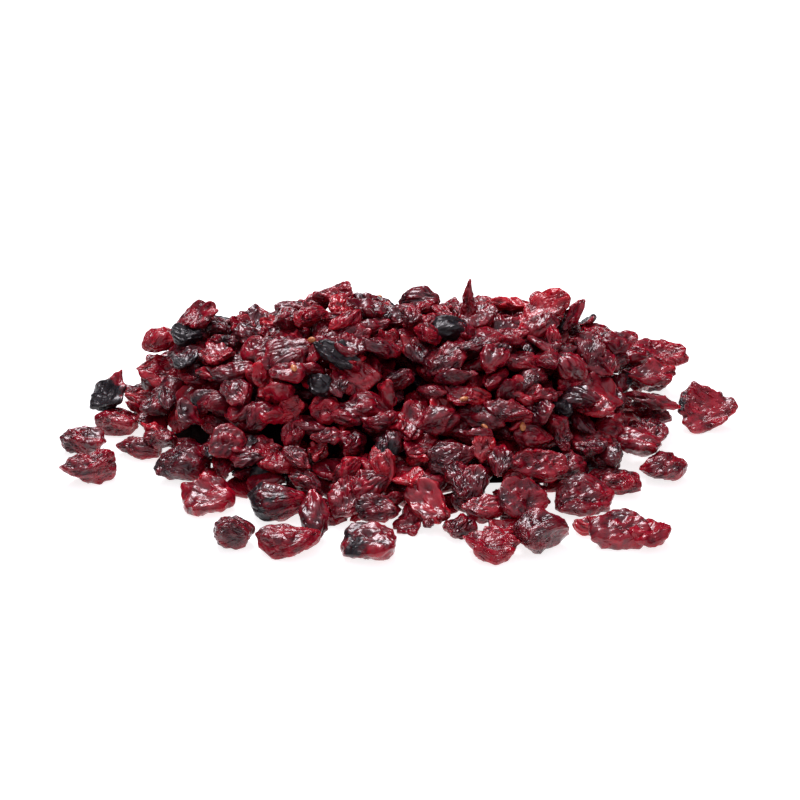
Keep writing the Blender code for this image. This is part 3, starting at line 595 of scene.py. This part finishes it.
def dried_berry(sphere, half, kind, number):
    """A berry's points, and for each its place in the skin's pattern, painted crease shade and flesh
    thinness.
    """
    own = random.Random(2000 * RANDOM_START + number)
    place = sphere * half
    x, y, z = sphere.T
    depths = np.array([own.uniform(*FACET_DEPTHS) for _ in range(FACETS)])
    facing = np.clip(sphere @ directions(own, FACETS).T, 0, None) / depths
    ball = FACET_FILL * (1 + (facing ** FACET_SHARPNESS).sum(1)) ** (-1 / FACET_SHARPNESS)
    for way in directions(own, DENTS):
        ball -= own.uniform(*DENT_DEPTHS) * np.exp((sphere @ way - 1) / own.uniform(*DENT_REACHES))
    long_swells, short_swells = swells(place, own, LONG_SWELL), swells(place, own, SHORT_SWELL)
    from_calyx = np.hypot(x - own.uniform(-CALYX_OFF, CALYX_OFF), y - own.uniform(-CALYX_OFF, CALYX_OFF))

    # A flat berry's pleats run out from its middle, and a long one's from end to end
    flat = kind in ("disc", "half")
    around, out = (np.arctan2(y, x), np.hypot(x, y)) if flat else (np.arctan2(z, y), np.abs(x))
    fewest, most, long_bend, short_bend = PLEATS[kind]
    bends = long_bend * long_swells + short_bend * short_swells
    crease = valleys(around * own.randint(fewest, most) / 2 + bends)
    start, end, thinnest = THINNING[kind]
    thin = thinnest * rising(out, start, end)
    upper = rising(z, *UPPER_FACE)
    lift = np.zeros(len(x))
    if kind == "disc":
        first, last = CALYX_PLEATS
        crease *= upper * rising(from_calyx, *first) * (1 - rising(from_calyx, *last))
        radius, wide, high = CALYX_RING
        lift += high * np.exp(-((from_calyx - radius) / wide) ** 2) * upper
        wide, deep = CALYX_PIT
        lift -= deep * np.exp(-(from_calyx / wide) ** 2) * upper
    elif kind == "half":
        least, more = RIM_PLEATS
        crease *= least + more * thin
        waves = np.sin(own.randint(*RIM_WAVES) * around + RIM_WAVE_BEND * long_swells)
        lift += RIM_WAVE_HEIGHT * waves * thin * upper
    else:
        crease *= np.sqrt(np.clip(1 - x * x, 0, 1))

    coarse, fine = crumples(place, own, COARSE_CRUMPLES), crumples(place, own, FINE_CRUMPLES)
    lift += own.uniform(*COARSE_HEIGHTS) * (coarse - CRUMPLE_LEVEL)
    lift += own.uniform(*FINE_HEIGHTS) * (fine - CRUMPLE_LEVEL)
    lift -= own.uniform(*PLEAT_DEPTHS) * crease
    outward = sphere / half
    outward /= np.linalg.norm(outward, axis=1)[:, None]
    points = berry_points(sphere * ball[:, None], half, kind, number) + outward * lift[:, None]
    pattern = place * own.uniform(*PATTERN_SHRINK)
    # Painted shade: darkest in the pleats and in the hollows between coarse crumples
    shade = PLEAT_SHADE * crease + HOLLOW_SHADE - CRUMPLE_SHADE * coarse - fine
    return points, pattern, np.clip(shade, 0, 1), thin


# Candied cranberry skin: sliced or pricked, soaked in sugar syrup and dried until it shrivels and sticks. It
# gives the eye a soft gloss over dark crimson flesh that glows red where it is thin, from light through the
# flesh and from a painted glow in its red, with painted shade in its creases, a pale bloom of sugar in
# patches, and near black where the heat caught it.
SKIN_REDS = ((0.0, "26030f"), (0.25, "640618"), (0.5, "930620"), (0.75, "a40a22"), (1.0, "b81526"))
CHARRED = "150d14"
# Painted shade: the near black red that the creases are darkened towards, and how far
CREASE_PAINTED_SHADE = "12030a"
CREASE_SHADE_STRENGTH = 0.7
# Marks along a millimetre of skin: blotches of red are 4 mm long, charred patches 7, patches of bloom 8,
# patches where the skin shrank more 17, spots of gloss 1.1, puckers 1.3 and pores 0.8
BLOTCHES_PER_MM = 0.25
CHARRED_PER_MM = 0.14
BLOOM_PER_MM = 0.12
SHRUNK_PER_MM = 0.06
GLOSS_PER_MM = 0.9
PUCKERS_PER_MM = 0.75
PORES_PER_MM = 1.3
UNEVEN = 0.6  # how much of the finer marks there is in the blotches and charred patches
BLOTCH_STRENGTH = 1.05
BLOTCH_LEVEL = -0.535
CHARRED_EDGE = (0.80, 0.92)
SYRUP_ROUGHNESS = (0.08, 0.36)
CHARRED_DULLNESS = 0.15
BLOOM_EDGE = (0.42, 0.6)
BLOOM_WEIGHTS = (0.05, 0.55)
BLOOM_ROUGHNESS = 0.35
SHRUNK_EDGE = (0.35, 0.65)
SHRUNK_DEPTHS = (0.45, 1.5)
PUCKER_STRETCH = (0.55, 1.0, 1.0)
PUCKER_WARP = 0.8
PUCKER_DEPTH = 1.1
PORE_DEPTH = 0.12
SYRUP_IOR = 1.4
FLESH_REACH = 1.4  # how far light comes through the flesh
FLESH_SHARE = 0.5
FLESH_COLOURS = (1.0, 0.16, 0.14)  # how far red, green and blue light come, as shares of that
# How much brighter the red is painted where the flesh is thin, as a glow of light through it, how much riper
# it is at one end, and how much less charred that end is
THIN_FLESH_PAINTED_GLOW = 0.12
RED_AT_END = 0.1
CHARRED_AT_END = 0.7
# Looks of the berries that fall: share of them, ripeness of the red, charring
FALLEN_LOOKS = (
    (34, 0.26, 0.1),
    (40, 0.37, 0.0),
    (16, 0.5, 0.0),
    (5, 0.62, 0.0),
    (2, 0.8, 0.0),
    (3, 0.15, 0.4),
)
LOOK_SPREAD = 0.06


def candied_skin():
    material, shader = new_material("candied_cranberry_skin")
    link = material.node_tree.links.new
    place = put(material, "ShaderNodeAttribute", {"attribute_name": "skin_place"}, {}).outputs["Vector"]
    # Ripeness, with a painted glow where the flesh is thin
    ripe = put(material, "ShaderNodeAttribute", {"attribute_name": "ripeness_and_thin_glow"}, {}).outputs["Fac"]
    charred = put(material, "ShaderNodeAttribute", {"attribute_name": "charred"}, {}).outputs["Fac"]
    crease = put(material, "ShaderNodeAttribute", {"attribute_name": "crease"}, {}).outputs["Fac"]

    # Red blotches, painted shade in the creases, and charred patches
    blotches = put(material, "ShaderNodeTexNoise", {},
                   {"Vector": place, "Scale": BLOTCHES_PER_MM, "Detail": 4.0, "Roughness": UNEVEN})
    shift = put(material, "ShaderNodeMath", {"operation": "MULTIPLY_ADD"},
                {0: blotches.outputs["Fac"], 1: BLOTCH_STRENGTH, 2: BLOTCH_LEVEL})
    tone = put(material, "ShaderNodeMath", {"operation": "ADD", "use_clamp": True},
               {0: ripe, 1: shift.outputs[0]})
    red = put(material, "ShaderNodeValToRGB", {}, {"Fac": tone.outputs[0]})
    ramp_stops(red, SKIN_REDS)
    # Painted shade: the red is darkened in the creases by the crease attribute
    deep = put(material, "ShaderNodeMath", {"operation": "MULTIPLY"}, {0: crease, 1: CREASE_SHADE_STRENGTH})
    red_with_crease_shade = put(material, "ShaderNodeMix", {"data_type": "RGBA"},
                  {0: deep.outputs[0], 6: red.outputs["Color"], 7: colour(CREASE_PAINTED_SHADE)})
    burn = put(material, "ShaderNodeTexNoise", {},
               {"Vector": place, "Scale": CHARRED_PER_MM, "Detail": 4.0, "Roughness": UNEVEN})
    burn_sum = put(material, "ShaderNodeMath", {"operation": "ADD"}, {0: burn.outputs["Fac"], 1: charred})
    burnt = put(material, "ShaderNodeMapRange", {"interpolation_type": "SMOOTHSTEP"},
                {"Value": burn_sum.outputs[0], "From Min": CHARRED_EDGE[0], "From Max": CHARRED_EDGE[1]})
    shade = put(material, "ShaderNodeMix", {"data_type": "RGBA"},
                {0: burnt.outputs["Result"], 6: red_with_crease_shade.outputs[2], 7: colour(CHARRED)})
    link(shade.outputs[2], shader.inputs["Base Color"])

    # Uneven gloss, duller where it is charred, under a patchy bloom of sugar
    gloss = put(material, "ShaderNodeTexNoise", {}, {"Vector": place, "Scale": GLOSS_PER_MM, "Detail": 2.0})
    rough = put(material, "ShaderNodeMapRange", {},
                {"Value": gloss.outputs["Fac"], "To Min": SYRUP_ROUGHNESS[0], "To Max": SYRUP_ROUGHNESS[1]})
    dulled = put(material, "ShaderNodeMath", {"operation": "MULTIPLY_ADD"},
                 {0: burnt.outputs["Result"], 1: CHARRED_DULLNESS, 2: rough.outputs["Result"]})
    link(dulled.outputs[0], shader.inputs["Roughness"])
    bloom = put(material, "ShaderNodeTexNoise", {}, {"Vector": place, "Scale": BLOOM_PER_MM, "Detail": 2.0})
    veil = put(material, "ShaderNodeMapRange", {},
               {"Value": bloom.outputs["Fac"], "From Min": BLOOM_EDGE[0], "From Max": BLOOM_EDGE[1],
                "To Min": BLOOM_WEIGHTS[0], "To Max": BLOOM_WEIGHTS[1]})
    link(veil.outputs["Result"], shader.inputs["Coat Weight"])

    # Puckers, deeper where the skin shrank more, and pores
    along = put(material, "ShaderNodeMapping", {}, {"Vector": place, "Scale": PUCKER_STRETCH})
    puckers = put(material, "ShaderNodeTexNoise", {"noise_type": "RIDGED_MULTIFRACTAL"},
                  {"Vector": along.outputs[0], "Scale": PUCKERS_PER_MM, "Detail": 2.0, "Roughness": 0.5,
                   "Distortion": PUCKER_WARP})
    shrunk = put(material, "ShaderNodeTexNoise", {}, {"Vector": place, "Scale": SHRUNK_PER_MM, "Detail": 0.0})
    tight = put(material, "ShaderNodeMapRange", {},
                {"Value": shrunk.outputs["Fac"], "From Min": SHRUNK_EDGE[0], "From Max": SHRUNK_EDGE[1],
                 "To Min": SHRUNK_DEPTHS[0], "To Max": SHRUNK_DEPTHS[1]})
    puckered = put(material, "ShaderNodeMath", {"operation": "MULTIPLY"},
                   {0: puckers.outputs["Fac"], 1: tight.outputs["Result"]})
    pores = put(material, "ShaderNodeTexNoise", {}, {"Vector": place, "Scale": PORES_PER_MM, "Detail": 1.0})
    first = put(material, "ShaderNodeBump", {},
                {"Strength": 1.0, "Distance": PUCKER_DEPTH * MM, "Height": puckered.outputs[0]})
    second = put(material, "ShaderNodeBump", {},
                 {"Strength": 1.0, "Distance": PORE_DEPTH * MM, "Height": pores.outputs["Fac"],
                  "Normal": first.outputs[0]})
    link(second.outputs[0], shader.inputs["Normal"])
    link(first.outputs[0], shader.inputs["Coat Normal"])
    shader.inputs["IOR"].default_value = SYRUP_IOR
    shader.inputs["Subsurface Weight"].default_value = FLESH_SHARE
    shader.inputs["Subsurface Radius"].default_value = FLESH_COLOURS
    shader.inputs["Subsurface Scale"].default_value = FLESH_REACH * MM
    shader.inputs["Coat Roughness"].default_value = BLOOM_ROUGHNESS
    return material


def fallen_look(number):
    """How red and how charred a berry is that nobody laid."""
    own = random.Random(3000 * RANDOM_START + number)
    _, ripe, charred = own.choices(FALLEN_LOOKS, [share for share, *_ in FALLEN_LOOKS])[0]
    return ripe + own.gauss(0, LOOK_SPREAD), max(0.0, charred + own.gauss(0, LOOK_SPREAD))


def unit_ball(sides, rings):
    """A ball of radius 1 whose poles lie on X."""
    shape = bmesh.new()
    bmesh.ops.create_uvsphere(shape, u_segments=sides, v_segments=rings, radius=1)
    bmesh.ops.rotate(shape, verts=shape.verts, matrix=Matrix.Rotation(math.radians(90), 3, "Y"))
    mesh = bpy.data.meshes.new("ball")
    shape.to_mesh(mesh)
    shape.free()
    return mesh


def berries_piece(name, berries, detail):
    """One object of many berries, given as pairs of number and berry. Each is a closed mesh in its place."""
    ball = unit_ball(*detail)
    shape = bmesh.new()
    for _ in berries:
        shape.from_mesh(ball)
    thing = finished(name, shape)
    mesh = thing.data
    spheres = np.empty(len(mesh.vertices) * 3)
    mesh.vertices.foreach_get("co", spheres)
    made = {"place": [], "skin_place": [], "ripeness_and_thin_glow": [], "charred": [], "crease": []}
    for sphere, (number, berry) in zip(spheres.reshape(len(berries), -1, 3), berries):
        x, y, z, rotation, half, kind, look = berry
        ripe, charred = look or fallen_look(number)
        points, pattern, crease, thin = dried_berry(sphere, half, kind, number)
        points = points @ rotation.T + (x - SPREAD_MIDDLE[0], y - SPREAD_MIDDLE[1], z)
        points[:, 2] = np.maximum(points[:, 2], TABLE_GAP)
        made["place"].append(points * MM)
        made["skin_place"].append(pattern + PATTERN_STEP * number)
        # Ripeness, and a painted glow where the flesh is thin
        made["ripeness_and_thin_glow"].append(ripe + THIN_FLESH_PAINTED_GLOW * thin + RED_AT_END * sphere[:, 0])
        made["charred"].append(charred * (1 - CHARRED_AT_END * sphere[:, 0]))
        made["crease"].append(crease)
    made = {key: np.concatenate(parts) for key, parts in made.items()}
    mesh.vertices.foreach_set("co", made["place"].ravel())
    places = mesh.attributes.new("skin_place", "FLOAT_VECTOR", "POINT")
    places.data.foreach_set("vector", made["skin_place"].ravel())
    for key in ("ripeness_and_thin_glow", "charred", "crease"):
        mesh.attributes.new(key, "FLOAT", "POINT").data.foreach_set("value", made[key])
    mesh.shade_smooth()
    mesh.update()
    mesh.materials.append(skin)
    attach(thing, "root")
    return thing


def depth(berry):
    """How far a berry's middle lies inside the pile's form."""
    x, y, z = berry[:3]
    return round(float((pile_height(x, y) - z) / steepness(x, y)), 4)


skin = candied_skin()
numbers = sorted(range(len(pile.berries)), key=lambda number: depth(pile.berries[number]))
outer = [(number, pile.berries[number]) for number in numbers[:OUTER_BERRIES]]
inner = [(number, pile.berries[number]) for number in numbers[OUTER_BERRIES:]]
back = [(number, berry) for number, berry in outer if berry[1] > BACK_FROM]
top_pieces = []
for kind, piece_name in PIECE_NAMES.items():
    of_kind = [(number, berry) for number, berry in outer if berry[1] <= BACK_FROM and berry[5] == kind]
    for start in range(0, len(of_kind), MOST_IN_PIECE):
        name = f"{piece_name}_{start // MOST_IN_PIECE + 1}"
        top_pieces.append(berries_piece(name, of_kind[start:start + MOST_IN_PIECE], FRONT_DETAIL))
top_pieces.append(berries_piece("cranberries_at_the_back", back, BACK_DETAIL))
for piece in (*top_pieces, berries_piece("inner_cranberries", inner, INNER_DETAIL)):
    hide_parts("cranberry_heap")

# The strays
# Four berries of the same pour that rolled clear and lie on the table by themselves.
STRAY_DETAIL = (72, 44)
# With the same values as the berries that were laid on the table one by one
STRAYS = {
    "stray_left_back": (-86.6, 1.0, 12.6, 10.0, 7.8, 4, 0, 6, "whole", 0.32, 0.0),
    "stray_left_front": (-82.0, -15.4, 16.4, 11.4, 9.4, 30, 0, -8, "whole", 0.45, 0.0),
    "stray_front": (-42.3, -52.4, 11.2, 10.8, 9.4, -30, 0, 5, "whole", 0.25, 0.2),
    "stray_right": (85.0, 18.1, 16.0, 14.6, 8.4, -20, 6, 35, "half", 0.5, 0.22),
}

strays = Pile()
strays.height[:] = 0.0
for index, (name, row) in enumerate(STRAYS.items(), 1):
    lay_on_surface(strays, row)
    piece = berries_piece(f"loose_cranberry_{index}", [(-index, strays.berries[-1])], STRAY_DETAIL)
    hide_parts(name)

# The seeds
# A few tan seeds came loose when the berries were cut, and stick to the skins that they dropped on. Each is a
# tiny drop, pointed at one end.
SEED_SIZE = (2.6, 1.7, 1.2)
SEED_POINT = 0.5
SEED_DETAIL = (16, 10)
SEED_SUNK = 0.15  # how far it sinks into the skin
# Place along X and Y, and how far it is turned on the skin
SEEDS = (
    (-28.0, -10.8, 30), (-23.5, 0.5, 100), (16.9, -16.2, 70), (32.4, -18.3, 10), (22.1, -19.8, 120),
    (-6.0, 40.0, 60), (25.0, 52.0, 150), (-41.0, 33.0, 0),
)
ABOVE_ALL = 100.0  # where they drop from
# Cranberry seed coat: hard and smooth as it grew, and wet with syrup. It gives the eye a soft shine on an
# uneven tan.
SEED_TANS = ((0.3, "9c3f24"), (0.6, "d08a52"))
SEED_STAINS_PER_MM = 1.4  # each stain is about 0.7 mm long
SEED_ROUGHNESS = 0.3


def seeds():
    ball = unit_ball(*SEED_DETAIL)
    skins = [BVHTree.FromObject(piece, bpy.context.evaluated_depsgraph_get()) for piece in top_pieces]
    shape = bmesh.new()
    for x, y, turn in SEEDS:
        above = Vector((x - SPREAD_MIDDLE[0], y - SPREAD_MIDDLE[1], ABOVE_ALL)) * MM
        hits = [skin.ray_cast(above, Vector((0, 0, -1)))[:2] for skin in skins]
        spot, upright = max((hit for hit in hits if hit[0]), key=lambda hit: hit[0].z)
        lie = upright.to_track_quat("Z", "X").to_matrix() @ Matrix.Rotation(math.radians(turn), 3, "Z")
        first = len(shape.verts)
        shape.from_mesh(ball)
        shape.verts.ensure_lookup_table()
        for vertex in shape.verts[first:]:
            along, across, up = vertex.co
            girth = 1 - SEED_POINT * max(along, 0) ** 2
            own = Vector((along * SEED_SIZE[0], across * girth * SEED_SIZE[1], up * girth * SEED_SIZE[2])) / 2
            vertex.co = spot + lie @ (own + Vector((0, 0, SEED_SIZE[2] / 2 - SEED_SUNK))) * MM
    thing = finished("cranberry_seeds", shape)
    thing.data.shade_smooth()

    material, shader = new_material("tan_cranberry_seed")
    where = put(material, "ShaderNodeTexCoord", {}, {}).outputs["Object"]
    stains = put(material, "ShaderNodeTexNoise", {},
                 {"Vector": where, "Scale": SEED_STAINS_PER_MM / MM, "Detail": 2.0})
    tan = put(material, "ShaderNodeValToRGB", {}, {"Fac": stains.outputs["Fac"]})
    ramp_stops(tan, SEED_TANS)
    material.node_tree.links.new(tan.outputs["Color"], shader.inputs["Base Color"])
    shader.inputs["Roughness"].default_value = SEED_ROUGHNESS
    thing.data.materials.append(material)
    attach(thing, "root")


seeds()

# The table and the light
# A sheet of opal acrylic, lit from below, under an even studio light: a large diffuse ceiling that fades
# towards the sides, and one smaller soft lamp above and behind the heap, which gives the skins their glints.
TABLE_HALF = 40.0  # in metres, so far out that its edges don't show
# Opal acrylic: cast with a white pigment and left matt. It gives the eye an even, shadowless white.
TABLE_WHITES = ((0.0, "c2c2c2"), (1.0, "c6c6c6"))
TABLE_CLOUD = 89.0  # in mm, from one faint cloud in the white to the next
TABLE_ROUGHNESS = 0.9
TABLE_GLOW = 0.8
CEILING = 0.9
CEILING_TOWARDS = (0.0, -0.26, 0.966)
CEILING_FADE = (0.3, 0.9)
CEILING_TINT = (0.98, 0.9, 1.0, 1.0)
HORIZON = 0.02
LAMP_PLACE = (-0.15, 0.45, 0.75)
LAMP_SIZE = 0.4
LAMP_POWER = 8.5
LAMP_TINT = (1.0, 0.94, 1.0)

shape = bmesh.new()
bmesh.ops.create_grid(shape, x_segments=1, y_segments=1, size=TABLE_HALF)
table = finished("table", shape)
sheet, shader = new_material("opal_acrylic_sheet")
where = put(sheet, "ShaderNodeTexCoord", {}, {}).outputs["Object"]
clouds = put(sheet, "ShaderNodeTexNoise", {}, {"Vector": where, "Scale": 1 / (TABLE_CLOUD * MM)})
tint = put(sheet, "ShaderNodeValToRGB", {}, {"Fac": clouds.outputs["Fac"]})
ramp_stops(tint, TABLE_WHITES)
sheet.node_tree.links.new(tint.outputs["Color"], shader.inputs["Base Color"])
shader.inputs["Roughness"].default_value = TABLE_ROUGHNESS
shader.inputs["Emission Color"].default_value = (1.0, 1.0, 1.0, 1.0)
shader.inputs["Emission Strength"].default_value = TABLE_GLOW
table.data.materials.append(sheet)

world = bpy.data.worlds.new("studio")
world.use_nodes = True
bpy.context.scene.world = world
where = put(world, "ShaderNodeTexCoord", {}, {}).outputs["Generated"]
towards = put(world, "ShaderNodeVectorMath", {"operation": "DOT_PRODUCT"}, {0: where, 1: CEILING_TOWARDS})
fade = put(world, "ShaderNodeMapRange", {"interpolation_type": "SMOOTHSTEP"},
           {"Value": towards.outputs["Value"], "From Min": CEILING_FADE[0], "From Max": CEILING_FADE[1],
            "To Min": HORIZON, "To Max": CEILING})
background = world.node_tree.nodes["Background"]
world.node_tree.links.new(fade.outputs["Result"], background.inputs["Strength"])
background.inputs["Color"].default_value = CEILING_TINT

lamp_data = bpy.data.lights.new("lamp", "AREA")
lamp_data.energy = LAMP_POWER
lamp_data.size = LAMP_SIZE
lamp_data.color = LAMP_TINT
lamp = bpy.data.objects.new("lamp", lamp_data)
lamp.location = LAMP_PLACE
lamp.rotation_euler = (-Vector(LAMP_PLACE)).to_track_quat("-Z", "Y").to_euler()
bpy.context.scene.collection.objects.link(lamp)

# The camera
# A camera on a stand, 0.7 m from the heap and 25 degrees above the table, with a lens that brings the heap to
# the picture's width.
CAMERA_HEIGHT_ANGLE = 25.0
CAMERA_DISTANCE = 700.0
AIM = (0.0, 0.0, 16.0)
MM_PER_PIXEL = 0.27
PICTURE_PIXELS = 800
SENSOR_WIDTH = 36.0

camera_data = bpy.data.cameras.new("camera")
camera_data.sensor_width = SENSOR_WIDTH
camera_data.lens = SENSOR_WIDTH * CAMERA_DISTANCE / (PICTURE_PIXELS * MM_PER_PIXEL)
camera = bpy.data.objects.new("camera", camera_data)
angle = math.radians(CAMERA_HEIGHT_ANGLE)
away = Vector((0, -math.cos(angle), math.sin(angle)))
aim = Vector((AIM[0] - SPREAD_MIDDLE[0], AIM[1] - SPREAD_MIDDLE[1], AIM[2]))
camera.location = (aim + away * CAMERA_DISTANCE) * MM
camera.rotation_euler = (-away).to_track_quat("-Z", "Y").to_euler()
bpy.context.scene.collection.objects.link(camera)
bpy.context.scene.camera = camera
bpy.context.scene.view_settings.view_transform = "Standard"
